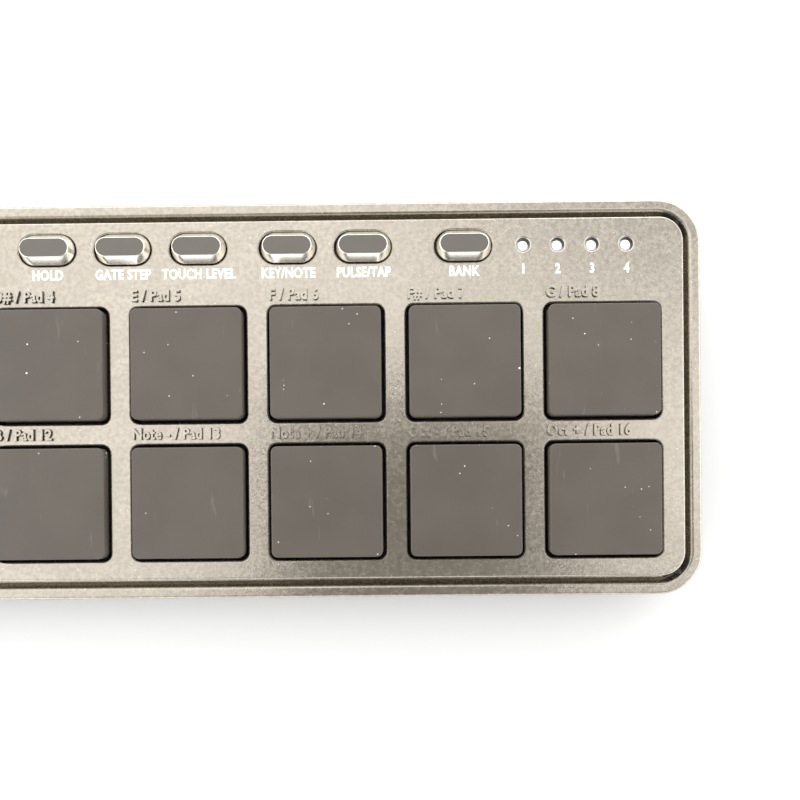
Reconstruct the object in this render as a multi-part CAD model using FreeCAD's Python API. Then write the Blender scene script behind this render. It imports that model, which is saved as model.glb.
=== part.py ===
"""Slim desktop pad controller: sixteen rubber trigger pads, a touch pad, six push buttons and four
indicator lights in a flat two-shell case.

Millimetres. +X runs to the player's right, +Y to the rear edge with the USB socket, +Z up.
The origin is on the table, below the middle of the case. Each node is written to parts/NODE.step.
"""
import FreeCAD
import Part

import math
import os

V = FreeCAD.Vector

# ---------------------------------------------------------------- driving dimensions
BODY_W = 325.0          # overall width, along X
BODY_D = 83.0           # overall depth, along Y
TOP_Z = 16.0            # overall height, to the tops of the pads
DECK_Z = 14.2           # raised playing deck
DECK_T = 2.0
RIM = 4.1               # from the deck's edge out to the widest line of the case
DECK_R = 5.0            # corner radius of the deck, seen from above
DECK_HW = BODY_W / 2 - RIM
DECK_HD = BODY_D / 2 - RIM
DECK_UNDER = DECK_Z - DECK_T

LIP_Z = 12.9            # crown of the lip that runs round the deck
GROOVE_Z = 10.9         # floor of the groove between deck and lip
SHELF_Z = 9.9           # underside of the wall below the groove
PART_Z = 9.0            # parting line of the two shells
PART_GAP = 0.2
BASE_Z = 1.0            # underside of the lower shell
FLOOR_Z = 2.8           # its inner floor
INSET = 2.0             # how far the rings reach in under the deck and floor plates

PITCH = 28.8            # of the pads, both ways
COLUMNS = 8
HOLE = 24.3             # pad opening in the deck
HOLE_R = 1.7
PAD = 23.0
PAD_R = 1.3
PAD_ROUND = 0.3         # rounding of a pad's top edges
LAST_X = 141.45         # centre of the right-hand column of pads
ROW_Y = (7.5, 7.5 - PITCH)
FIRST_X = LAST_X - PITCH * (COLUMNS - 1)
MID_Y = (ROW_Y[0] + ROW_Y[1]) / 2
EDGE_ROUND = 0.4        # rounding of the openings' upper edges
PAD_TRAVEL = 0.75

TOUCH_X0 = -(LAST_X + HOLE / 2)                       # the touch pad mirrors the pads' right margin
TOUCH_X1 = FIRST_X - HOLE / 2 - (PITCH - HOLE)
TOUCH_X = (TOUCH_X0 + TOUCH_X1) / 2
TOUCH_W = TOUCH_X1 - TOUCH_X0
TOUCH_D = PITCH + HOLE
TOUCH_GAP = 0.3
TOUCH_SINK = 0.3        # the touch surface lies this far below the deck
TOUCH_BOARD_Z = 11.0
TOUCH_BOARD_MARGIN = 1.8
FLEX_Y = 16.0
FLEX_HALF = 4.0
FLEX_FROM_X = -98.0     # the ribbon between the touch board and the main board
FLEX_TO_X = -78.6
CONNECTOR_H = 2.0

BUTTON_Y = 31.7
BUTTONS = (("hold", 25.7), ("gate", 41.5), ("touch", 57.3), ("key", 76.0), ("tap", 91.7), ("bank", 112.6))
BUTTON_HOLE = (12.0, 6.65)
BUTTON_BASE = (11.4, 6.3)
BUTTON_TOP = (10.1, 3.8)
BUTTON_FLANGE = (13.4, 7.4)
CAP_SHIFT = 0.12        # the caps lie a little to the right in their holes
SWITCH_TOP = 10.6
SWITCH_BORE_R = 1.7

LED_X = (125.1, 132.25, 139.4, 146.55)
LED_Y = 31.8
LED_HOLE_R = 1.4
LED_ROD_R = 1.1
LED_ROD_Z = 13.5        # the lights' ends lie a little below the deck

BOARD_Z = 6.0           # underside of the main board
BOARD_T = 1.6
BOARD_TOP = BOARD_Z + BOARD_T
BOARD_X = (-79.0, 156.0)
BOARD_Y = (-35.0, 35.4)
SENSOR_T = 0.3
SENSOR_TOP = BOARD_TOP + SENSOR_T
WEB_T = 1.2
WEB_TOP = SENSOR_TOP + WEB_T
WEB_HOLE = 24.9
PAD_FOOT_Z = WEB_TOP + 0.9
MAT_X = (FIRST_X - PITCH / 2 + 0.6, LAST_X + PITCH / 2 - 0.4)
MAT_Y = (ROW_Y[1] - PITCH / 2 + 0.8, ROW_Y[0] + PITCH / 2 - 0.4)

REAR_SCREW_Y = 25.0
CASE_SCREWS = [(-152.0, REAR_SCREW_Y), (TOUCH_X1 + (PITCH - HOLE) / 2, REAR_SCREW_Y),
               (33.6, REAR_SCREW_Y), (152.0, REAR_SCREW_Y)]
CASE_SCREWS += [(FIRST_X + PITCH * (i + 0.5), MID_Y) for i in (0, 2, 4, 6)]
BOARD_SCREWS = [(-30.0, REAR_SCREW_Y), (66.6, REAR_SCREW_Y), (103.0, REAR_SCREW_Y)]
BOARD_SCREWS += [(FIRST_X + PITCH * (i + 0.5), MID_Y) for i in (1, 3, 5)]
BOSS_R = 2.3
PILOT_R = 1.05
SCREW_R = 1.0
CASE_HEAD_R = 2.3
BOARD_HEAD_R = 1.9
COUNTERBORE_R = 2.6
COUNTERBORE_Z = 3.4
POST_R = 3.6

FOOT_R = 5.0
FOOT_SINK = 0.5
FEET = [(x, y) for x in (-140.0, 140.0) for y in (-28.0, 29.0)]

LABEL_W, LABEL_D = 62.0, 22.0
LABEL_Y = 6.0
LABEL_SINK = 0.2        # depth of the recess that holds the blank rating label

USB_X = -60.0
USB_Z = 7.05            # centre of the socket
USB_HW = 3.85
USB_HH = 1.95
USB_LEN = 9.2
USB_FRONT = 40.7        # the socket's mouth, just inside the rear wall
TONGUE_Z = USB_Z + 0.35
TONGUE_HALF_T = 0.45

OUT = "parts"


# ---------------------------------------------------------------- helpers
def round_wire(cx, cy, w, d, r, z):
    """A rounded rectangle on a level plane, as a closed wire."""
    x0, x1, y0, y1 = cx - w / 2, cx + w / 2, cy - d / 2, cy + d / 2
    k = r * (1 - math.sqrt(0.5))
    straight = [((x0 + r, y0), (x1 - r, y0)), ((x1, y0 + r), (x1, y1 - r)),
                ((x1 - r, y1), (x0 + r, y1)), ((x0, y1 - r), (x0, y0 + r))]
    corner = [(x1 - k, y0 + k), (x1 - k, y1 - k), (x0 + k, y1 - k), (x0 + k, y0 + k)]
    edges = []
    for i, (a, b) in enumerate(straight):
        if math.dist(a, b) > 1e-6:
            edges.append(Part.LineSegment(V(*a, z), V(*b, z)).toShape())
        following = straight[(i + 1) % 4][0]
        edges.append(Part.Arc(V(*b, z), V(*corner[i], z), V(*following, z)).toShape())
    return Part.Wire(edges)


def round_box(cx, cy, w, d, r, z0, z1):
    return Part.Face(round_wire(cx, cy, w, d, r, z0)).extrude(V(0, 0, z1 - z0))


def taper(cx, cy, low, low_r, z0, high, high_r, z1):
    """A solid between two rounded rectangles, each given as (width, depth) and a corner radius."""
    wires = [round_wire(cx, cy, *low, low_r, z0), round_wire(cx, cy, *high, high_r, z1)]
    return Part.makeLoft(wires, True, True)


def box(x0, x1, y0, y1, z0, z1):
    return Part.makeBox(x1 - x0, y1 - y0, z1 - z0, V(x0, y0, z0))


def rod(x, y, r, z0, z1):
    return Part.makeCylinder(r, z1 - z0, V(x, y, z0))


def fuse(shapes):
    return shapes[0].multiFuse(shapes[1:]).removeSplitter() if len(shapes) > 1 else shapes[0]


def cut(shape, tools):
    return shape.cut(Part.makeCompound(tools))


def level_edges(shape, z):
    """The edges that lie on the level plane at z."""
    return [e for e in shape.Edges if abs(e.BoundBox.ZMin - z) < 1e-4 and abs(e.BoundBox.ZMax - z) < 1e-4]


def ring(outline):
    """Carries an outline of (s, z) edges round the deck's rounded rectangle. s is measured outwards
    from the deck's edge, and each item is ("line", end) or ("arc", middle, end)."""
    def at(point):
        return V(point[0], 0, point[1])

    start = outline[0]
    edges, here = [], at(start)
    for item in outline[1:] + [("line", start)]:
        there = at(item[-1])
        if item[0] == "arc":
            edges.append(Part.Arc(here, at(item[1]), there).toShape())
        elif (there - here).Length > 1e-6:
            edges.append(Part.LineSegment(here, there).toShape())
        here = there
    face = Part.Face(Part.Wire(edges))
    straight_x, straight_y = DECK_HW - DECK_R, DECK_HD - DECK_R
    parts = []
    for turn, (cx, cy) in enumerate([(straight_x, straight_y), (-straight_x, straight_y),
                                     (-straight_x, -straight_y), (straight_x, -straight_y)]):
        corner = face.copy()
        corner.translate(V(DECK_R, 0, 0))
        corner = corner.revolve(V(0, 0, 0), V(0, 0, 1), 90)
        corner.rotate(V(0, 0, 0), V(0, 0, 1), 90 * turn)
        corner.translate(V(cx, cy, 0))
        parts.append(corner)
        run = face.copy()
        length = 2 * (straight_y if turn % 2 == 0 else straight_x)
        half = DECK_HW if turn % 2 == 0 else DECK_HD
        run = run.extrude(V(0, length, 0))
        run.translate(V(half, -length / 2, 0))
        run.rotate(V(0, 0, 0), V(0, 0, 1), 90 * turn)
        parts.append(run)
    return parts


def pad_centres():
    return [(FIRST_X + PITCH * i, y) for y in ROW_Y for i in range(COLUMNS)]


def write(name, shapes):
    shapes = shapes if isinstance(shapes, list) else [shapes]
    solids = [s for shape in shapes for s in shape.Solids]
    for solid in solids:
        if not solid.isValid() or solid.Volume <= 0:
            raise ValueError(f"{name} has a bad solid")
    result = solids[0] if len(solids) == 1 else Part.makeCompound(solids)
    result.exportStep(os.path.join(OUT, f"{name}.step"))
    print(f"{name:18s} {len(solids):3d} solid(s) {sum(s.Volume for s in solids) / 1000:8.3f} cm3")


# ---------------------------------------------------------------- casing
def lip_outline():
    """Section of the upper shell's edge: outer wall, lip, groove, and the deck's rounded shoulder."""
    slope = math.radians(62)
    crown_r, cove_r, edge_r, foot_r, shoulder_r = 0.8, 0.5, 0.6, 0.35, 0.4
    crown_s = RIM - 1.8
    skin = 1.8          # wall between the groove and the inside
    outer_wall = 2.0

    def round_off(centre, radius, angle):
        return (centre[0] + radius * math.cos(angle), centre[1] + radius * math.sin(angle))

    def bulge(radius):
        """How far the middle of a quarter round stands in from its corner."""
        return radius * (1 - math.sqrt(0.5))

    crown = (crown_s, LIP_Z - crown_r)
    crown_end = round_off(crown, crown_r, math.pi / 2 + slope)
    cove_drop = cove_r * (1 - math.cos(slope))
    run = (crown_end[1] - GROOVE_Z - cove_drop) / math.tan(slope)
    cove_start = (crown_end[0] - run, GROOVE_Z + cove_drop)
    cove = (cove_start[0] - cove_r * math.sin(slope), GROOVE_Z + cove_r)
    return [
        (RIM, PART_Z + PART_GAP),
        ("line", (RIM, LIP_Z - edge_r)),
        ("arc", (RIM - bulge(edge_r), LIP_Z - bulge(edge_r)), (RIM - edge_r, LIP_Z)),
        ("line", (crown_s, LIP_Z)),
        ("arc", round_off(crown, crown_r, math.pi / 2 + slope / 2), crown_end),
        ("line", cove_start),
        ("arc", round_off(cove, cove_r, -math.pi / 2 + slope / 2), (cove[0], GROOVE_Z)),
        ("line", (foot_r, GROOVE_Z)),
        ("arc", (bulge(foot_r), GROOVE_Z + bulge(foot_r)), (0, GROOVE_Z + foot_r)),
        ("line", (0, DECK_Z - shoulder_r)),
        ("arc", (-bulge(shoulder_r), DECK_Z - bulge(shoulder_r)), (-shoulder_r, DECK_Z)),
        ("line", (-INSET, DECK_Z)),
        ("line", (-INSET, DECK_UNDER)),
        ("line", (-skin, DECK_UNDER)),
        ("line", (-skin, SHELF_Z)),
        ("line", (RIM - outer_wall, SHELF_Z)),
        ("line", (RIM - outer_wall, PART_Z + PART_GAP)),
    ]


def deck_plate():
    """The flat deck with its openings, their upper edges rounded."""
    half_w, half_d = DECK_HW - INSET, DECK_HD - INSET
    deck = round_box(0, 0, 2 * half_w, 2 * half_d, DECK_R - INSET, DECK_UNDER, DECK_Z)
    below, above = DECK_UNDER - 1, DECK_Z + 1
    holes = [round_box(x, y, HOLE, HOLE, HOLE_R, below, above) for x, y in pad_centres()]
    holes.append(round_box(TOUCH_X, MID_Y, TOUCH_W, TOUCH_D, HOLE_R, below, above))
    holes += [round_box(x, BUTTON_Y, *BUTTON_HOLE, BUTTON_HOLE[1] / 2, below, above) for _, x in BUTTONS]
    holes += [rod(x, LED_Y, LED_HOLE_R, below, above) for x in LED_X]
    deck = cut(deck, holes)
    inner = FreeCAD.BoundBox(-half_w + 0.1, -half_d + 0.1, 0, half_w - 0.1, half_d - 0.1, TOP_Z)
    rims = [e for e in level_edges(deck, DECK_Z) if inner.isInside(e.BoundBox)]
    return deck.makeFillet(EDGE_ROUND, rims)


def upper_case():
    rib_t = 1.4
    shell = ring(lip_outline()) + [deck_plate()]
    ribs = [box(x - rib_t / 2, x + rib_t / 2, MAT_Y[0], MAT_Y[1], WEB_TOP, DECK_UNDER)
            for x in [FIRST_X + PITCH * (i + 0.5) for i in range(COLUMNS - 1)]]
    ribs.append(box(MAT_X[0], MAT_X[1], MID_Y - rib_t / 2, MID_Y + rib_t / 2, WEB_TOP, DECK_UNDER))
    bosses = []
    for x, y in CASE_SCREWS + BOARD_SCREWS:
        on_board = x > BOARD_X[0]
        bosses.append(rod(x, y, BOSS_R, BOARD_TOP if on_board else BOARD_Z, DECK_UNDER))
    pilots = [rod(x, y, PILOT_R, BOARD_Z - 1, DECK_UNDER - 0.6) for x, y in CASE_SCREWS + BOARD_SCREWS]
    return cut(fuse(shell + ribs + bosses), pilots)


def tray_outline():
    """Section of the lower shell's edge: it narrows towards the table, and a tongue enters the upper."""
    wall_top = RIM - 0.2
    tongue_out = 1.9
    tongue_in = 1.1
    tongue_top = PART_Z + 0.75
    return [
        (wall_top, PART_Z),
        ("line", (tongue_out, PART_Z)),
        ("line", (tongue_out, tongue_top)),
        ("line", (tongue_in, tongue_top)),
        ("line", (tongue_in, 5.6)),
        ("arc", (0.45, 3.75), (-1.2, FLOOR_Z)),
        ("line", (-INSET, FLOOR_Z)),
        ("line", (-INSET, BASE_Z)),
        ("line", (-0.6, BASE_Z)),
        ("arc", (2.25, 2.25), (3.4, 5.0)),
    ]


def lower_case():
    floor = round_box(0, 0, 2 * (DECK_HW - INSET), 2 * (DECK_HD - INSET), DECK_R - INSET, BASE_Z, FLOOR_Z)
    rib_t, rib_top = 1.2, 4.2
    touch_post_r, touch_post_z = 2.5, 11.0
    posts = [rod(x, y, POST_R, FLOOR_Z, BOARD_Z) for x, y in CASE_SCREWS]
    ribs = [box(-150, 150, y - rib_t / 2, y + rib_t / 2, FLOOR_Z, rib_top) for y in (-20.0, MID_Y, 12.0)]
    ribs += [box(x - rib_t / 2, x + rib_t / 2, -34, 34, FLOOR_Z, rib_top) for x in (-110.0, 0.0, 110.0)]
    props = [rod(TOUCH_X + dx, MID_Y + dy, touch_post_r, FLOOR_Z, touch_post_z)
             for dx in (-22.0, 22.0) for dy in (-15.0, 15.0)]
    shell = fuse(ring(tray_outline()) + [floor] + posts + ribs + props)
    tools = [rod(x, y, COUNTERBORE_R, BASE_Z - 1, COUNTERBORE_Z) for x, y in CASE_SCREWS]
    tools += [rod(x, y, SCREW_R + 0.2, BASE_Z, BOARD_Z + 1) for x, y in CASE_SCREWS]
    tools += [rod(x, y, FOOT_R + 0.1, BASE_Z - 1, BASE_Z + FOOT_SINK) for x, y in FEET]
    tools.append(label_shape(BASE_Z - 1, BASE_Z + LABEL_SINK))
    port_hw, port_bottom = USB_HW + 0.7, USB_Z - USB_HH - 0.5
    tools.append(box(USB_X - port_hw, USB_X + port_hw, 36, BODY_D / 2 + 1, port_bottom, PART_Z + 2))
    return cut(shell, tools)


def label_shape(z0, z1, inset=0.0):
    """The recess for the blank rating label, and the label itself when inset."""
    w, d = LABEL_W - 2 * inset, LABEL_D - 2 * inset
    return round_box(TOUCH_X, LABEL_Y, w, d, 2.0, z0, z1)


def rubber_feet():
    made = []
    for x, y in FEET:
        foot = rod(x, y, FOOT_R, 0, BASE_Z + FOOT_SINK)
        made.append(foot.makeFillet(0.4, level_edges(foot, 0)))
    return made


def screw(x, y, seat, shank_top, head_r, head_t):
    """A self-tapping screw put in from below: pan head under the seat, cross recess, pointed shank."""
    head = rod(x, y, head_r, seat - head_t, seat)
    head = head.makeFillet(0.35, level_edges(head, seat - head_t))
    shank = rod(x, y, SCREW_R - 0.05, seat, shank_top - 0.8)
    tip = Part.makeCone(SCREW_R - 0.05, 0.3, 0.8, V(x, y, shank_top - 0.8))
    slot_l, slot_t, slot_h = head_r * 1.1, 0.5, head_t * 0.55
    bottom = seat - head_t
    slots = [box(x - slot_l / 2, x + slot_l / 2, y - slot_t / 2, y + slot_t / 2, bottom, bottom + slot_h),
             box(x - slot_t / 2, x + slot_t / 2, y - slot_l / 2, y + slot_l / 2, bottom, bottom + slot_h)]
    return cut(fuse([head, shank, tip]), slots)


# ---------------------------------------------------------------- pads
def pad(x, y):
    """A thick silicone pad: rounded top, hollow underneath, with a plunger over the sensor."""
    body = round_box(x, y, PAD, PAD, PAD_R, PAD_FOOT_Z, TOP_Z)
    body = body.makeFillet(PAD_ROUND, level_edges(body, TOP_Z))
    hollow_z, wall = 12.4, 2.2
    body = body.cut(round_box(x, y, PAD - 2 * wall, PAD - 2 * wall, 1.0, PAD_FOOT_Z - 1, hollow_z))
    plunger = round_box(x, y, 12.0, 12.0, 2.0, SENSOR_TOP + PAD_TRAVEL + 0.05, hollow_z)
    return fuse([body, plunger])


def pad_web():
    """The mat's flat web, which lies on the sensor sheet and is held down by the deck's ribs."""
    web = box(MAT_X[0], MAT_X[1], MAT_Y[0], MAT_Y[1], SENSOR_TOP, WEB_TOP)
    holes = [round_box(x, y, WEB_HOLE, WEB_HOLE, 2.0, SENSOR_TOP - 1, WEB_TOP + 1)
             for x, y in pad_centres()]
    holes += [rod(x, y, BOSS_R + 0.2, SENSOR_TOP - 1, WEB_TOP + 1) for x, y in middle_screws()]
    return cut(web, holes)


def middle_screws():
    return [p for p in CASE_SCREWS + BOARD_SCREWS if abs(p[1] - MID_Y) < 0.1]


def pad_skirt(x, y):
    """The thin sloping skirt that carries one pad over the web's hole and bends when it is pressed."""
    wall, clear = 0.85, 0.06
    high_z = PAD_FOOT_Z - clear
    low, high = WEB_HOLE + 1.0, PAD - 0.6
    outer = taper(x, y, (low, low), 2.4, WEB_TOP, (high, high), 1.5, high_z)
    low, high = low - 2 * wall, high - 2 * wall
    return outer.cut(taper(x, y, (low, low), 2.0, WEB_TOP, (high, high), 1.1, high_z))


# ---------------------------------------------------------------- buttons
def button(x):
    """A pill-shaped cap with bevelled sides. Its flange stays under the deck."""
    x += CAP_SHIFT
    shoulder = DECK_Z + 0.1
    flange_bottom, flange_top = DECK_UNDER - 0.9, DECK_UNDER - 0.1
    flange = round_box(x, BUTTON_Y, *BUTTON_FLANGE, 3.6, flange_bottom, flange_top)
    base_r, top_r = BUTTON_BASE[1] / 2 - 0.05, BUTTON_TOP[1] / 2 - 0.05
    neck = round_box(x, BUTTON_Y, *BUTTON_BASE, base_r, flange_top, shoulder)
    bevel = taper(x, BUTTON_Y, BUTTON_BASE, base_r, shoulder, BUTTON_TOP, top_r, TOP_Z)
    bevel = bevel.makeFillet(0.2, level_edges(bevel, TOP_Z))
    return fuse([flange, neck, bevel])


def switch_body(x):
    """A square tactile switch on the main board, its bore open at the top."""
    half = 3.0
    body = box(x - half, x + half, BUTTON_Y - half, BUTTON_Y + half, BOARD_TOP, SWITCH_TOP)
    return body.cut(rod(x, BUTTON_Y, SWITCH_BORE_R, SWITCH_TOP - 1.6, SWITCH_TOP + 1))


def switch_plunger(x):
    return rod(x, BUTTON_Y, SWITCH_BORE_R - 0.1, SWITCH_TOP - 0.9, DECK_UNDER - 0.9)


# ---------------------------------------------------------------- touch pad
def touch_overlay():
    plate = round_box(TOUCH_X, MID_Y, TOUCH_W - 2 * TOUCH_GAP, TOUCH_D - 2 * TOUCH_GAP, HOLE_R - TOUCH_GAP,
                      DECK_UNDER, DECK_Z - TOUCH_SINK)
    top_z = DECK_Z - TOUCH_SINK
    return plate.makeFillet(0.25, level_edges(plate, top_z))


def touch_board():
    w, d = TOUCH_W + 2 * TOUCH_BOARD_MARGIN, TOUCH_D + 2 * TOUCH_BOARD_MARGIN
    return round_box(TOUCH_X, MID_Y, w, d, 1.0, TOUCH_BOARD_Z, DECK_UNDER)


def touch_flex():
    """The ribbon between the two boards: level, a gentle S, level again."""
    half_t = 0.12
    lead = 5.0
    z_from, z_to = TOUCH_BOARD_Z - CONNECTOR_H / 2, BOARD_TOP + CONNECTOR_H / 2
    x_bend, x_flat = FLEX_FROM_X + lead, FLEX_TO_X - lead
    drop, run = z_from - z_to, x_flat - x_bend
    radius = (run ** 2 + drop ** 2) / (4 * drop)
    turn = math.asin(run / 2 / radius)

    def on_arc(r, angle):
        return V(r * math.sin(angle), 0, r * math.cos(angle))

    def surface(offset):
        """One face's outline, the given distance above the ribbon's middle: edges, first and last point."""
        first, last = V(FLEX_FROM_X, 0, z_from + offset), V(FLEX_TO_X, 0, z_to + offset)
        over, under = V(x_bend, 0, z_from - radius), V(x_flat, 0, z_to + radius)
        bend, flat = V(x_bend, 0, z_from + offset), V(x_flat, 0, z_to + offset)
        middle = over + on_arc(radius + offset, turn)
        edges = [Part.LineSegment(first, bend).toShape(),
                 Part.Arc(bend, over + on_arc(radius + offset, turn / 2), middle).toShape(),
                 Part.Arc(middle, under - on_arc(radius - offset, turn / 2), flat).toShape(),
                 Part.LineSegment(flat, last).toShape()]
        return edges, first, last

    top, top_first, top_last = surface(half_t)
    low, low_first, low_last = surface(-half_t)
    ends = [Part.LineSegment(top_last, low_last).toShape(),
            Part.LineSegment(low_first, top_first).toShape()]
    ribbon = Part.Face(Part.Wire(Part.__sortEdges__(top + low + ends))).extrude(V(0, 2 * FLEX_HALF, 0))
    ribbon.translate(V(0, FLEX_Y - FLEX_HALF, 0))
    return ribbon


def flex_connectors():
    """A low socket under the touch board and one on the main board, at the ribbon's two ends."""
    length, side = 4.0, 1.2
    y0, y1 = FLEX_Y - FLEX_HALF - side, FLEX_Y + FLEX_HALF + side
    return [box(FLEX_FROM_X - length, FLEX_FROM_X, y0, y1, TOUCH_BOARD_Z - CONNECTOR_H, TOUCH_BOARD_Z),
            box(FLEX_TO_X, FLEX_TO_X + length, y0, y1, BOARD_TOP, BOARD_TOP + CONNECTOR_H)]


# ---------------------------------------------------------------- boards and what is on them
def main_board():
    board = box(*BOARD_X, *BOARD_Y, BOARD_Z, BOARD_TOP)
    tools = [rod(x, y, SCREW_R + 0.3, BOARD_Z - 1, BOARD_TOP + 1) for x, y in CASE_SCREWS + BOARD_SCREWS
             if x > BOARD_X[0]]
    notch = USB_HW + 0.2
    tools.append(box(USB_X - notch, USB_X + notch, USB_FRONT - USB_LEN - 0.2, BOARD_Y[1] + 1,
                     BOARD_Z - 1, BOARD_TOP + 1))
    return cut(board, tools)


def pad_sensor_sheet():
    sheet = box(MAT_X[0], MAT_X[1], MAT_Y[0], MAT_Y[1], BOARD_TOP, SENSOR_TOP)
    return cut(sheet, [rod(x, y, BOSS_R + 0.2, BOARD_TOP - 1, SENSOR_TOP + 1) for x, y in middle_screws()])


def light_guide():
    """Four clear rods on one strip, which carry the lamps' light up into the deck's holes."""
    strip_x0, strip_x1 = LED_X[0] - 3, LED_X[-1] + 3
    strip = box(strip_x0, strip_x1, LED_Y - 2.4, LED_Y + 2.4, DECK_UNDER - 1.2, DECK_UNDER)
    rods = []
    for x in LED_X:
        tall = rod(x, LED_Y, LED_ROD_R, BOARD_TOP + 1.5, LED_ROD_Z)
        rods.append(tall.makeFillet(0.3, level_edges(tall, LED_ROD_Z)))
    return fuse([strip] + rods)


def led_lamps():
    return [box(x - 1.0, x + 1.0, LED_Y - 0.7, LED_Y + 0.7, BOARD_TOP, BOARD_TOP + 1.2) for x in LED_X]


def usb_section(grow):
    """The socket's stepped section in the XZ plane, grown outwards."""
    w, h, step_w, step_h = USB_HW + grow, USB_HH + grow, 3.05 + grow, 0.5
    points = [(-w, h), (w, h), (w, -step_h), (step_w, -step_h - 0.8), (step_w, -h),
              (-step_w, -h), (-step_w, -step_h - 0.8), (-w, -step_h), (-w, h)]
    return Part.Face(Part.makePolygon([V(USB_X + x, 0, USB_Z + z) for x, z in points]))


def usb_shell():
    wall = 0.35
    back = USB_FRONT - USB_LEN
    outer = usb_section(0.0).extrude(V(0, USB_LEN, 0))
    inner = usb_section(-wall).extrude(V(0, USB_LEN, 0))
    outer.translate(V(0, back, 0))
    inner.translate(V(0, back + wall, 0))
    ear_t, ear_w = 0.3, 1.8
    ears = [box(x0, x0 + ear_w, back + 0.6, BOARD_Y[1], BOARD_TOP, BOARD_TOP + ear_t)
            for x0 in (USB_X - USB_HW - ear_w, USB_X + USB_HW)]
    return fuse([outer.cut(inner)] + ears)


def usb_tongue():
    back = USB_FRONT - USB_LEN + 0.35
    block = box(USB_X - 2.6, USB_X + 2.6, back, back + 1.8, USB_Z - 1.3, USB_Z + 1.3)
    blade = box(USB_X - 1.9, USB_X + 1.9, back + 1.8, USB_FRONT - 1.2,
                TONGUE_Z - TONGUE_HALF_T, TONGUE_Z + TONGUE_HALF_T)
    return fuse([block, blade])


def usb_contacts():
    pitch, half_w, thick = 0.8, 0.15, 0.1
    y0, y1, top = USB_FRONT - USB_LEN + 2.6, USB_FRONT - 1.6, TONGUE_Z - TONGUE_HALF_T
    return [box(USB_X + pitch * i - half_w, USB_X + pitch * i + half_w, y0, y1, top - thick, top)
            for i in range(-2, 3)]


def board_components():
    """Crystal, capacitors, regulator and resistor arrays on the underside of the main board."""
    small = [(-52.0, 28.0), (-48.5, 28.0), (-45.0, 20.0), (-22.0, 16.0), (-22.0, 12.0), (-2.0, 20.0),
             (20.0, 16.0), (60.0, 16.0), (90.0, 20.0), (120.0, 16.0)]
    made = [box(x - 1.0, x + 1.0, y - 0.6, y + 0.6, BOARD_Z - 0.8, BOARD_Z) for x, y in small]
    made.append(round_box(-10, 24, 8.0, 3.6, 1.7, BOARD_Z - 1.5, BOARD_Z))
    made.append(box(-46.5, -41.5, 25.0, 28.5, BOARD_Z - 1.4, BOARD_Z))
    made += [rod(x, 30.5, 1.9, BOARD_Z - 1.6, BOARD_Z) for x in (-38.0, -32.0)]
    return made


def controller_chip():
    """The microcontroller: a square package with a row of leads on each side."""
    cx, cy, half = 14.0, 24.0, 5.0
    body = box(cx - half, cx + half, cy - half, cy + half, BOARD_Z - 1.5, BOARD_Z - 0.1)
    leads = []
    lead_pitch, lead_w, reach = 0.8, 0.35, 1.0
    for i in range(-5, 6):
        t = lead_pitch * i
        z0, z1 = BOARD_Z - 0.35, BOARD_Z
        for side in (-1, 1):
            a, b = sorted((side * (half - 0.3), side * (half + reach)))
            leads.append(box(cx + a, cx + b, cy + t - lead_w / 2, cy + t + lead_w / 2, z0, z1))
            leads.append(box(cx + t - lead_w / 2, cx + t + lead_w / 2, cy + a, cy + b, z0, z1))
    return fuse([body] + leads)


# ---------------------------------------------------------------- write every node
def main():
    os.makedirs(OUT, exist_ok=True)
    write("upper_case", upper_case())
    write("lower_case", lower_case())
    write("rubber_feet", rubber_feet())
    write("rating_label", label_shape(BASE_Z + 0.05, BASE_Z + LABEL_SINK, 0.3))
    write("case_screws", [screw(x, y, COUNTERBORE_Z, 11.2, CASE_HEAD_R, 1.7) for x, y in CASE_SCREWS])
    write("board_screws", [screw(x, y, BOARD_Z, 11.2, BOARD_HEAD_R, 1.2) for x, y in BOARD_SCREWS])
    for number, (x, y) in enumerate(pad_centres(), 1):
        write(f"pad_{number:02d}", pad(x, y))
    write("pad_web", pad_web())
    write("pad_skirts", [pad_skirt(x, y) for x, y in pad_centres()])
    write("pad_sensor_sheet", pad_sensor_sheet())
    for name, x in BUTTONS:
        write(f"{name}_button", button(x))
        write(f"{name}_plunger", switch_plunger(x))
    write("tact_switches", [switch_body(x) for _, x in BUTTONS])
    write("touch_overlay", touch_overlay())
    write("touch_board", touch_board())
    write("touch_flex", touch_flex())
    write("flex_connectors", flex_connectors())
    write("main_board", main_board())
    write("light_guide", light_guide())
    write("led_lamps", led_lamps())
    write("usb_shell", usb_shell())
    write("usb_tongue", usb_tongue())
    write("usb_contacts", usb_contacts())
    write("controller_chip", controller_chip())
    write("board_components", board_components())


main()
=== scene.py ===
"""Looks for the slim pad controller: paints, rubber, raised and printed lettering, studio and camera.

Metres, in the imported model's own frame: +X to the player's right, +Y to the rear, +Z up.
"""
import math

import bmesh
import bpy
from mathutils import Euler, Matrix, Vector


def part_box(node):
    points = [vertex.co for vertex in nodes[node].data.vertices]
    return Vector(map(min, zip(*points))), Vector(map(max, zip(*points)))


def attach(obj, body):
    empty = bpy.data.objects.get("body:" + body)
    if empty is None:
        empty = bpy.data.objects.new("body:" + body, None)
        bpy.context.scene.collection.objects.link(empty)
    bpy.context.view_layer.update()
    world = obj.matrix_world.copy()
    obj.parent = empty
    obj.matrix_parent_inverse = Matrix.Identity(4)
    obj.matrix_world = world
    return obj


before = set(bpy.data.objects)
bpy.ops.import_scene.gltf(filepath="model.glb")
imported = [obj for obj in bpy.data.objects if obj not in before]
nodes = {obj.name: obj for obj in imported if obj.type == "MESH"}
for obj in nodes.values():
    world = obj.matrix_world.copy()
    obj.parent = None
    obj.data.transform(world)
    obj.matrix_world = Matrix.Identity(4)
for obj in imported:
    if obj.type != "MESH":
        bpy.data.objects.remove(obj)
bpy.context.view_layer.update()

MM = 0.001
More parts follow.
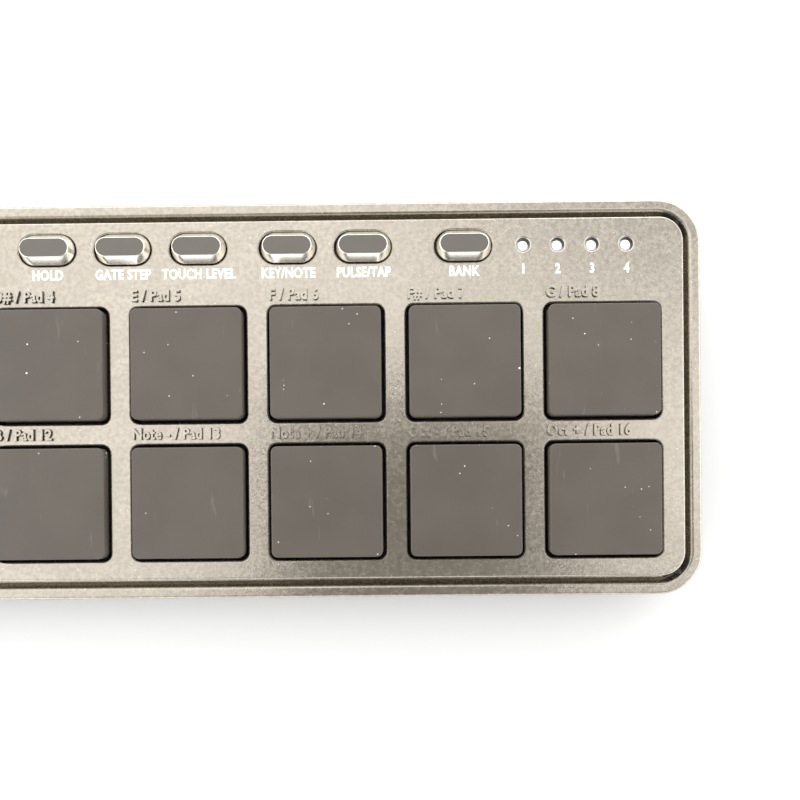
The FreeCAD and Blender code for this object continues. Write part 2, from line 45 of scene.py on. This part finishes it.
HOUSING = "housing"
PADS = [f"pad_{number:02d}" for number in range(1, 17)]
BUTTONS = ("hold", "gate", "touch", "key", "tap", "bank")
LIGHTS = 4
DECK_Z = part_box("upper_case")[1].z


# ---------------------------------------------------------------- shader helpers
class Shader:
    """One material's node tree, with short calls for the nodes that every material here uses."""

    def __init__(self, name):
        self.material = bpy.data.materials.new(name)
        self.material.use_nodes = True
        self.nodes = self.material.node_tree.nodes
        self.links = self.material.node_tree.links
        self.surface = self.nodes["Principled BSDF"]
        self.place = self.nodes.new("ShaderNodeTexCoord").outputs["Object"]

    def link(self, source, target):
        self.links.new(source, target)

    def put(self, socket, value):
        """Links an output to the socket, or sets its value."""
        if isinstance(value, bpy.types.NodeSocket):
            self.links.new(value, socket)
        else:
            socket.default_value = value

    def set(self, **values):
        """Sets or links the shader's own sockets, named with underscores for spaces."""
        for name, value in values.items():
            self.put(self.surface.inputs[name.replace("_", " ")], value)
        return self

    def noise(self, size, detail=2.0, roughness=0.5, stretch=(1, 1, 1), distortion=0.0):
        """Noise from 0 to 1 whose features are about size metres across."""
        mapping = self.nodes.new("ShaderNodeMapping")
        mapping.inputs["Scale"].default_value = [s / size for s in stretch]
        self.link(self.place, mapping.inputs["Vector"])
        noise = self.nodes.new("ShaderNodeTexNoise")
        noise.inputs["Scale"].default_value = 1.0
        noise.inputs["Detail"].default_value = detail
        noise.inputs["Roughness"].default_value = roughness
        noise.inputs["Distortion"].default_value = distortion
        self.link(mapping.outputs["Vector"], noise.inputs["Vector"])
        return noise.outputs["Fac"]

    def cells(self, size, output="Distance", shift=(0, 0, 0)):
        """A Voronoi pattern with cells about size metres across."""
        mapping = self.nodes.new("ShaderNodeMapping")
        mapping.inputs["Scale"].default_value = [1 / size] * 3
        mapping.inputs["Location"].default_value = shift
        self.link(self.place, mapping.inputs["Vector"])
        voronoi = self.nodes.new("ShaderNodeTexVoronoi")
        voronoi.inputs["Scale"].default_value = 1.0
        self.link(mapping.outputs["Vector"], voronoi.inputs["Vector"])
        return voronoi.outputs[output]

    def ramp(self, value, low, high, to_low=0.0, to_high=1.0, smooth=True):
        """Maps value from low..high to to_low..to_high, clamped."""
        node = self.nodes.new("ShaderNodeMapRange")
        node.interpolation_type = "SMOOTHSTEP" if smooth else "LINEAR"
        self.put(node.inputs["Value"], value)
        self.put(node.inputs["From Min"], low)
        self.put(node.inputs["From Max"], high)
        self.put(node.inputs["To Min"], to_low)
        self.put(node.inputs["To Max"], to_high)
        return node.outputs["Result"]

    def math(self, operation, a, b=0.0):
        """The result of a Math node; a and b are outputs or numbers."""
        node = self.nodes.new("ShaderNodeMath")
        node.operation = operation
        self.put(node.inputs[0], a)
        self.put(node.inputs[1], b)
        return node.outputs[0]

    def vector(self, operation, a, b):
        node = self.nodes.new("ShaderNodeVectorMath")
        node.operation = operation
        self.put(node.inputs[0], a)
        self.put(node.inputs[1], b)
        return node.outputs["Vector"]

    def mix(self, factor, a, b):
        """A colour between a and b."""
        node = self.nodes.new("ShaderNodeMix")
        node.data_type = "RGBA"
        self.put(node.inputs["Factor"], factor)
        self.put(node.inputs["A"], rgba(a))
        self.put(node.inputs["B"], rgba(b))
        return node.outputs["Result"]

    def split(self, vector, axis):
        """One component, X, Y or Z, of a vector or a colour."""
        node = self.nodes.new("ShaderNodeSeparateXYZ")
        self.put(node.inputs[0], vector)
        return node.outputs[axis]

    def geometry(self, output):
        """An output of the Geometry node, such as Normal."""
        return self.nodes.new("ShaderNodeNewGeometry").outputs[output]

    def bump(self, height, depth, normal=None):
        """Relief of the given depth in metres, over normal if one is given."""
        node = self.nodes.new("ShaderNodeBump")
        node.inputs["Strength"].default_value = 1.0
        node.inputs["Distance"].default_value = depth
        self.link(height, node.inputs["Height"])
        if normal is not None:
            self.link(normal, node.inputs["Normal"])
        return node.outputs["Normal"]


def rgba(value):
    """A colour socket's value from three numbers; anything else is passed on as it is."""
    return (*value, 1.0) if isinstance(value, tuple) and len(value) == 3 else value


# ---------------------------------------------------------------- materials
def metallic_paint():
    """Satin champagne paint over the moulding: fine flakes, faint mottling, a few brighter sparkles, and
    painted shade, near-black, on steep faces within the deck's outline.
    """
    s = Shader("champagne_paint")
    mottle = s.noise(0.9 * MM, detail=3)
    broad = s.noise(5 * MM, detail=3)
    flake = s.cells(0.16 * MM, "Color")
    sparkle = specks(s, 0.75 * MM, 0.955, 0.2, shift=(3, 7, 1))
    flake_tilt = (0.1, 0.1, 0.1)
    tilt = s.vector("MULTIPLY", s.vector("SUBTRACT", flake, (0.5, 0.5, 0.5)), flake_tilt)
    normal = s.vector("NORMALIZE", s.vector("ADD", s.geometry("Normal"), tilt), (0, 0, 0))
    shade = s.ramp(mottle, 0.3, 0.7)
    colour = s.mix(shade, (0.335, 0.305, 0.258), (0.425, 0.388, 0.33))
    colour = s.mix(s.ramp(broad, 0.35, 0.65, 0.0, 0.4), colour, (0.345, 0.312, 0.262))
    colour = s.mix(sparkle, colour, (0.54, 0.50, 0.44))
    # Painted shade: steep faces within the deck's outline are coloured near-black and not metallic, so the
    # gaps and letter sides read as unlit. These are the openings' walls and the raised letters' sides.
    steep = s.ramp(s.split(s.geometry("Normal"), "Z"), 0.62, 0.38)
    painted_shade = s.math("MULTIPLY", inside_deck(s), steep)
    painted_shade_black = (0.012, 0.012, 0.011)
    s.set(Base_Color=s.mix(painted_shade, colour, painted_shade_black), Metallic=s.ramp(painted_shade, 0, 1, 0.95, 0))
    s.set(Roughness=s.ramp(mottle, 0.3, 0.7, 0.21, 0.28))
    s.set(Normal=s.bump(mottle, 0.004 * MM, normal))
    return s.material


def inside_deck(s):
    """1 within the deck's outline, where steep faces get painted shade: the openings' walls and the raised
    letters' sides turn near-black.
    """
    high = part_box("upper_case")[1]
    rim = 4.3 * MM          # from the case's outer edge to just inside the deck's
    across = s.math("LESS_THAN", s.math("ABSOLUTE", s.split(s.place, "X")), high.x - rim)
    along = s.math("LESS_THAN", s.math("ABSOLUTE", s.split(s.place, "Y")), high.y - rim)
    return s.math("MULTIPLY", across, along)


def pad_rubber():
    """Smooth dark silicone with a dull sheen, dust specks caught on it and faint rubbed streaks."""
    s = Shader("pad_rubber")
    cloud = s.noise(9 * MM, detail=3)
    grain = s.noise(0.25 * MM, detail=2)
    colour = s.mix(s.ramp(cloud, 0.35, 0.65), (0.072, 0.062, 0.052), (0.078, 0.068, 0.057))
    wisps = s.noise(2.2 * MM, detail=5, roughness=0.65, stretch=(1, 0.12, 1), distortion=0.8)
    streak = s.ramp(wisps, 0.64, 0.7)
    colour = s.mix(s.math("MULTIPLY", streak, 0.12), colour, (0.3, 0.28, 0.25))
    dust, lint = 1.7 * MM, 4.1 * MM
    colour = s.mix(specks(s, dust, 0.72, 0.075, own_shift(dust)), colour, (0.62, 0.58, 0.52))
    colour = s.mix(specks(s, lint, 0.6, 0.045, own_shift(lint)), colour, (0.8, 0.76, 0.7))
    s.set(Base_Color=colour, Roughness=s.ramp(cloud, 0.3, 0.7, 0.5, 0.56), Specular_IOR_Level=0.3)
    s.set(Normal=s.bump(grain, 0.004 * MM))
    return s.material


def own_shift(size):
    """Moves a pattern of cells by an amount of its own, so that two patterns don't fall together."""
    return (size * 5000, size * 900, 0.5)


def specks(s, size, rarity, radius, shift):
    """Scattered dots: a cell whose random number passes rarity gets one, radius of a cell in radius."""
    chosen = s.math("GREATER_THAN", s.split(s.cells(size, "Color", shift=shift), "X"), rarity)
    dot = s.math("LESS_THAN", s.cells(size, "Distance", shift=shift), radius)
    return s.math("MULTIPLY", chosen, dot)


def button_finish():
    """A dull dark face on top, and bevelled sides in the case's own metallic finish, polished."""
    s = Shader("button_finish")
    up = s.split(s.geometry("Normal"), "Z")
    top = s.ramp(up, 0.93, 0.99)
    grain = s.noise(0.2 * MM, detail=2)
    cloud = s.noise(3 * MM, detail=2)
    face = s.mix(cloud, (0.078, 0.069, 0.057), (0.086, 0.077, 0.064))
    side = s.mix(s.noise(0.9 * MM), (0.60, 0.57, 0.51), (0.68, 0.65, 0.59))
    s.set(Base_Color=s.mix(top, side, face), Metallic=s.ramp(top, 0, 1, 0.95, 0.0))
    s.set(Roughness=s.ramp(top, 0, 1, 0.2, 0.45), Normal=s.bump(grain, 0.0018 * MM))
    return s.material


def moulded_plastic(name, low, high, roughness=0.55, texture=0.35 * MM, depth=0.012 * MM):
    """Plastic with a fine spark-eroded texture, slightly uneven in colour and gloss."""
    s = Shader(name)
    grain = s.noise(texture, detail=2)
    cloud = s.noise(18 * MM, detail=3)
    s.set(Base_Color=s.mix(s.ramp(cloud, 0.3, 0.7), low, high))
    s.set(Roughness=s.ramp(cloud, 0.3, 0.7, roughness - 0.05, roughness + 0.05))
    s.set(Normal=s.bump(grain, depth))
    return s.material


def metal(name, low, high, roughness=0.3, stretch=(1, 8, 1)):
    """Plated or brushed metal with fine lines along one axis."""
    s = Shader(name)
    lines = s.noise(0.12 * MM, detail=2, stretch=stretch)
    s.set(Base_Color=s.mix(s.noise(1.5 * MM), low, high), Metallic=1.0)
    s.set(Roughness=s.ramp(lines, 0.3, 0.7, roughness - 0.06, roughness + 0.08))
    s.set(Normal=s.bump(lines, 0.002 * MM))
    return s.material


def touch_film():
    """A hard matt polycarbonate film, finely pebbled, with a few light finger marks."""
    s = Shader("touch_film")
    pebble = s.cells(0.12 * MM)
    smudge = s.ramp(s.noise(16 * MM, detail=4, distortion=1.2), 0.5, 0.72)
    s.set(Base_Color=s.mix(s.noise(7 * MM, detail=3), (0.085, 0.077, 0.068), (0.105, 0.095, 0.084)))
    s.set(Roughness=s.ramp(smudge, 0, 1, 0.42, 0.33), Normal=s.bump(pebble, 0.006 * MM))
    return s.material


def light_end():
    """Frosted white ends of the light guide, with a painted glow: a faint emission of their own that stands
    in for the room's light.
    """
    s = Shader("light_end")
    s.set(Base_Color=s.mix(s.noise(0.5 * MM), (0.93, 0.93, 0.92), (0.98, 0.98, 0.97)))
    s.set(Roughness=s.ramp(s.noise(0.3 * MM), 0.3, 0.7, 0.3, 0.4), Subsurface_Weight=0.25)
    # Painted glow: a faint white emission on the ends, standing in for room light.
    s.set(Subsurface_Radius=(0.001, 0.001, 0.001), Emission_Color=(1, 1, 1, 1), Emission_Strength=0.35)
    return s.material


def print_ink(name, low, high):
    """Screen-printed ink: nearly flat, a little uneven at its edges."""
    s = Shader(name)
    grain = s.noise(0.18 * MM, detail=2)
    s.set(Base_Color=s.mix(grain, low, high), Roughness=s.ramp(grain, 0.3, 0.7, 0.45, 0.6))
    s.set(Normal=s.bump(grain, 0.004 * MM))
    return s.material


def circuit_board():
    """Green solder mask over faint copper tracks."""
    s = Shader("circuit_board")
    tracks = s.ramp(s.noise(2.4 * MM, detail=1, stretch=(1, 0.2, 1)), 0.5, 0.52)
    s.set(Base_Color=s.mix(tracks, (0.01, 0.09, 0.035), (0.025, 0.16, 0.06)))
    s.set(Roughness=s.ramp(tracks, 0, 1, 0.3, 0.4), Normal=s.bump(tracks, 0.02 * MM))
    return s.material


def paint_nodes():
    """Gives every CAD node its material, and returns the materials by node."""
    black = moulded_plastic("black_plastic", (0.012, 0.012, 0.012), (0.02, 0.02, 0.02), 0.5)
    base = moulded_plastic("base_plastic", (0.052, 0.049, 0.045), (0.066, 0.062, 0.057), 0.58)
    steel = metal("screw_steel", (0.30, 0.30, 0.31), (0.40, 0.40, 0.41), 0.35)
    board = circuit_board()
    rubber = pad_rubber()
    caps = button_finish()
    finishes = {
        "upper_case": metallic_paint(),
        "lower_case": base,
        "rubber_feet": moulded_plastic("foot_rubber", (0.02, 0.02, 0.02), (0.032, 0.031, 0.03), 0.75),
        "rating_label": print_ink("label_film", (0.42, 0.42, 0.41), (0.47, 0.47, 0.46)),
        "case_screws": steel,
        "board_screws": steel,
        "pad_web": rubber,
        "pad_skirts": rubber,
        "pad_sensor_sheet": print_ink("sensor_film", (0.30, 0.16, 0.05), (0.36, 0.2, 0.07)),
        "tact_switches": black,
        "touch_overlay": touch_film(),
        "touch_board": board,
        "main_board": board,
        "touch_flex": print_ink("ribbon_film", (0.62, 0.62, 0.6), (0.7, 0.7, 0.68)),
        "flex_connectors": moulded_plastic("ivory_plastic", (0.68, 0.62, 0.5), (0.74, 0.68, 0.56), 0.45),
        "light_guide": light_end(),
        "led_lamps": print_ink("lamp_body", (0.75, 0.72, 0.5), (0.85, 0.82, 0.6)),
        "usb_shell": metal("socket_steel", (0.55, 0.55, 0.56), (0.66, 0.66, 0.67), 0.24),
        "usb_tongue": black,
        "usb_contacts": metal("contact_gold", (0.8, 0.58, 0.25), (0.9, 0.68, 0.32), 0.2),
        "controller_chip": black,
        "board_components": black,
    }
    finishes.update({pad: rubber for pad in PADS})
    for button in BUTTONS:
        finishes[f"{button}_button"] = caps
        finishes[f"{button}_plunger"] = black
    for name, material in finishes.items():
        nodes[name].material_slots[0].material = material
    return finishes


# ---------------------------------------------------------------- lettering
CAP_OF_SIZE = 0.73      # height of a capital, as a share of the built-in font's size


def lettering(name, text, cap_height, squeeze, place, relief, sunk, bold, align="LEFT", soft=0.0):
    """Text as a mesh on a level surface, its baseline at place; it stands relief above the surface.

    squeeze narrows the letters, sunk is how far they reach into the surface, bold thickens their
    strokes by that much on each side, and soft is the radius of their edges.
    """
    curve = bpy.data.curves.new(name, "FONT")
    curve.body = text
    curve.size = cap_height / CAP_OF_SIZE
    curve.align_x = align
    curve.extrude = (relief + sunk) / 2 - soft
    curve.bevel_depth = soft
    curve.bevel_resolution = 1
    curve.offset = bold
    curve.resolution_u = 3
    looser = 0.35           # letters that are squeezed are set a little further apart
    curve.space_character = 1.0 + looser * (1 - squeeze)
    scratch = bpy.data.objects.new(name + "_curve", curve)
    bpy.context.scene.collection.objects.link(scratch)
    graph = bpy.context.evaluated_depsgraph_get()
    mesh = bpy.data.meshes.new_from_object(scratch.evaluated_get(graph))
    bpy.data.objects.remove(scratch)
    bpy.data.curves.remove(curve)
    middle = place.z + (relief - sunk) / 2
    for vertex in mesh.vertices:
        vertex.co = (place.x + vertex.co.x * squeeze, place.y + vertex.co.y, middle + vertex.co.z)
    mesh.name = name
    piece = bpy.data.objects.new(name, mesh)
    bpy.context.scene.collection.objects.link(piece)
    return piece


PAD_WORDS = ("C / Pad 1", "C# / Pad 2", "D / Pad 3", "D# / Pad 4", "E / Pad 5", "F / Pad 6", "F# / Pad 7",
             "G / Pad 8", "G# / Pad 9", "A / Pad 10", "A# / Pad 11", "B / Pad 12", "Note - / Pad 13",
             "Note + / Pad 14", "Oct - / Pad 15", "Oct + / Pad 16")
BUTTON_WORDS = ("HOLD", "GATE STEP", "TOUCH LEVEL", "KEY/NOTE", "PULSE/TAP", "BANK")


def pad_labels(material):
    """Raised lettering moulded with the deck, behind each pad and flush with its left side."""
    side_gap = (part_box("pad_02")[0].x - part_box("pad_01")[1].x) / 2
    overhang = 0.1 * side_gap
    behind = 1.85 * MM
    cap_height, squeeze = 2.35 * MM, 0.86
    for pad, words in zip(PADS, PAD_WORDS):
        low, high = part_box(pad)
        place = Vector((low.x - overhang, high.y + behind, DECK_Z))
        label = lettering(f"label_{pad}", words, cap_height, squeeze, place, relief=0.5 * MM,
                          sunk=0.1 * MM, bold=0.06 * MM, soft=0.05 * MM)
        label.data.materials.append(material)
        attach(label, HOUSING)


def printed_labels():
    """White print in front of the buttons and the lights."""
    ink = print_ink("white_ink", (0.86, 0.85, 0.82), (0.94, 0.93, 0.9))
    word_height, digit_height = 2.1 * MM, 2.04 * MM
    print_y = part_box("bank_button")[0].y - 2.5 * MM
    digit_y = print_y + 0.35 * MM
    marks = []
    for button, words in zip(BUTTONS, BUTTON_WORDS):
        low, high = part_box(f"{button}_button")
        marks.append((f"print_{button}", words, word_height, (low.x + high.x) / 2, print_y))
    low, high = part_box("light_guide")
    margin = 3.0 * MM       # from the guide's end to its first light
    for number in range(LIGHTS):
        x = low.x + margin + (high.x - low.x - 2 * margin) * number / (LIGHTS - 1)
        marks.append((f"print_light_{number + 1}", str(number + 1), digit_height, x, digit_y))
    for name, words, height, x, y in marks:
        label = lettering(name, words, height, 0.78, Vector((x, y, DECK_Z)), relief=0.02 * MM,
                          sunk=0.02 * MM, bold=0.09 * MM, align="CENTER")
        label.data.materials.append(ink)
        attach(label, HOUSING)


def thin_frame(name, low, high, width, z_low, z_high):
    """A flat rectangular band of ink, width wide, just inside low..high, with rounded corners."""
    radius, least_radius, steps = 1.2 * MM, 0.2 * MM, 6
    work = bmesh.new()

    def outline(inset):
        """Corner points, anticlockwise, of the rectangle stepped in by inset."""
        r = max(radius - inset, least_radius)
        points = []
        for turn, (x, y) in enumerate(((high.x, high.y), (low.x, high.y), (low.x, low.y), (high.x, low.y))):
            centre_x = x - (r + inset) * (1 if x == high.x else -1)
            centre_y = y - (r + inset) * (1 if y == high.y else -1)
            for step in range(steps + 1):
                angle = math.radians(90) * (turn + step / steps)
                points.append((centre_x + r * math.cos(angle), centre_y + r * math.sin(angle)))
        return points

    loops = [[work.verts.new((x, y, z)) for x, y in outline(inset)]
             for inset, z in ((0, z_low), (0, z_high), (width, z_high), (width, z_low))]
    count = len(loops[0])
    for near, far in zip(loops, loops[1:] + loops[:1]):
        for i in range(count):
            j = (i + 1) % count
            work.faces.new((near[i], near[j], far[j], far[i]))
    bmesh.ops.recalc_face_normals(work, faces=work.faces)
    mesh = bpy.data.meshes.new(name)
    work.to_mesh(mesh)
    work.free()
    piece = bpy.data.objects.new(name, mesh)
    bpy.context.scene.collection.objects.link(piece)
    return piece


def printed_frames():
    """A fine border on the touch pad's film, and one round the blank rating label underneath."""
    ink_t = 0.02 * MM       # how far the ink stands out, and how far it reaches in
    low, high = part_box("touch_overlay")
    inset = Vector((3.5, 3.5, 0)) * MM
    border = thin_frame("touch_border", low + inset, high - inset, 0.35 * MM,
                        high.z - ink_t, high.z + ink_t)
    border.data.materials.append(print_ink("grey_ink", (0.30, 0.28, 0.25), (0.36, 0.34, 0.31)))
    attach(border, HOUSING)
    low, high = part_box("rating_label")
    inset = Vector((1.5, 1.5, 0)) * MM
    edge = thin_frame("label_border", low + inset, high - inset, 0.4 * MM, low.z - ink_t, low.z + ink_t)
    edge.data.materials.append(print_ink("black_ink", (0.02, 0.02, 0.02), (0.035, 0.035, 0.035)))
    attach(edge, HOUSING)


# ---------------------------------------------------------------- studio and camera
def studio():
    """A pale floor, a card by the lens, and soft light from all round."""
    half = 3.0
    stage_sheet("floor", (-half, -half), (half, half), 0.0, 0.4, (0.64, 0.64, 0.64), (0.66, 0.66, 0.66))
    flag()
    sky()


def stage_sheet(name, low, high, z, cloud, dark, light):
    """A level sheet of matt paper at height z from low to high, with clouds from dark to light."""
    mesh = bpy.data.meshes.new(name)
    corners = [(low[0], low[1], z), (high[0], low[1], z), (high[0], high[1], z), (low[0], high[1], z)]
    mesh.from_pydata(corners, [], [(0, 1, 2, 3)])
    paper = Shader(f"{name}_paper")
    paper.set(Base_Color=paper.mix(paper.noise(cloud), dark, light), Roughness=0.9)
    mesh.materials.append(paper.material)
    sheet = bpy.data.objects.new(name, mesh)
    bpy.context.scene.collection.objects.link(sheet)
    return sheet


class Sky:
    """World nodes that shade the studio's soft white surroundings by direction."""

    def __init__(self):
        world = bpy.data.worlds.new("studio")
        bpy.context.scene.world = world
        world.use_nodes = True
        self.tree = world.node_tree
        self.direction = self.tree.nodes.new("ShaderNodeTexCoord").outputs["Generated"]
        split = self.tree.nodes.new("ShaderNodeSeparateXYZ")
        self.tree.links.new(self.direction, split.inputs[0])
        self.right, self.rear, self.up = split.outputs

    def math(self, operation, a, b=0.0):
        """The result of a Math node; a and b are outputs or numbers."""
        node = self.tree.nodes.new("ShaderNodeMath")
        node.operation = operation
        for socket, value in zip(node.inputs, (a, b)):
            if isinstance(value, bpy.types.NodeSocket):
                self.tree.links.new(value, socket)
            else:
                socket.default_value = value
        return node.outputs[0]

    def ease(self, value, low, high, to_low, to_high):
        """Maps value smoothly from low..high to to_low..to_high."""
        node = self.tree.nodes.new("ShaderNodeMapRange")
        node.interpolation_type = "SMOOTHSTEP"
        self.tree.links.new(value, node.inputs["Value"])
        ends = {"From Min": low, "From Max": high, "To Min": to_low, "To Max": to_high}
        for name, number in ends.items():
            node.inputs[name].default_value = number
        return node.outputs["Result"]

    def patch(self, right, rear, inner, outer, inside):
        """A factor for a soft round area about the direction (right, rear, 1): inside, and 1 beyond it."""
        dot = self.tree.nodes.new("ShaderNodeVectorMath")
        dot.operation = "DOT_PRODUCT"
        self.tree.links.new(self.direction, dot.inputs[0])
        dot.inputs[1].default_value = Vector((right, rear, 1)).normalized()
        angle = self.math("ARCCOSINE", dot.outputs["Value"])
        return self.ease(angle, math.radians(inner), math.radians(outer), inside, 1.0)


def sky():
    """A bright tent, brightest low at the rear right, and dimmer high in that corner and in front."""
    s = Sky()
    corner = s.patch(right=0.5, rear=0.8, inner=11, outer=29, inside=0.4)
    window = s.patch(right=1.0, rear=1.9, inner=8, outer=24, inside=2.0)
    front = s.patch(right=0.1, rear=-0.95, inner=34, outer=43, inside=0.4)
    horizon = s.ease(s.up, 0.7, 0.3, 1.0, 2.0)
    level = 2.1
    strength = s.math("MULTIPLY", s.math("MULTIPLY", window, corner), s.math("MULTIPLY", front, horizon))
    strength = s.math("MULTIPLY", strength, level)
    background = s.tree.nodes["Background"]
    background.inputs["Color"].default_value = (1.0, 1.0, 1.0, 1.0)
    s.tree.links.new(strength, background.inputs["Strength"])


def flag():
    """A grey card level with the lens, unseen by it, that the middle of the deck mirrors."""
    low, high, z = (44 * MM, -160 * MM), (168 * MM, 24 * MM), 162 * MM
    card = stage_sheet("flag", low, high, z, 5 * MM, (0.32, 0.31, 0.29), (0.36, 0.35, 0.33))
    card.visible_camera = False


def camera():
    """Straight above the right half, leaning and turned by well under a degree, and shifted to the rear."""
    data = bpy.data.cameras.new("camera")
    data.sensor_width = 36.0
    data.lens = 31.3
    data.shift_x, data.shift_y = 0.0, 0.125
    data.dof.use_dof = False
    data.clip_start, data.clip_end = 0.01, 10
    eye = bpy.data.objects.new("camera", data)
    bpy.context.scene.collection.objects.link(eye)
    eye.location = Vector((99.7, -20.6, 159.3)) * MM
    lean_x, lean_y, turn = -0.0037, 0.0051, -0.0097
    eye.rotation_euler = Euler((lean_x, lean_y, turn), "XYZ")
    bpy.context.scene.camera = eye


finishes = paint_nodes()
pad_labels(finishes["upper_case"])
printed_labels()
printed_frames()
studio()
camera()
bpy.context.scene.view_settings.view_transform = "Standard"
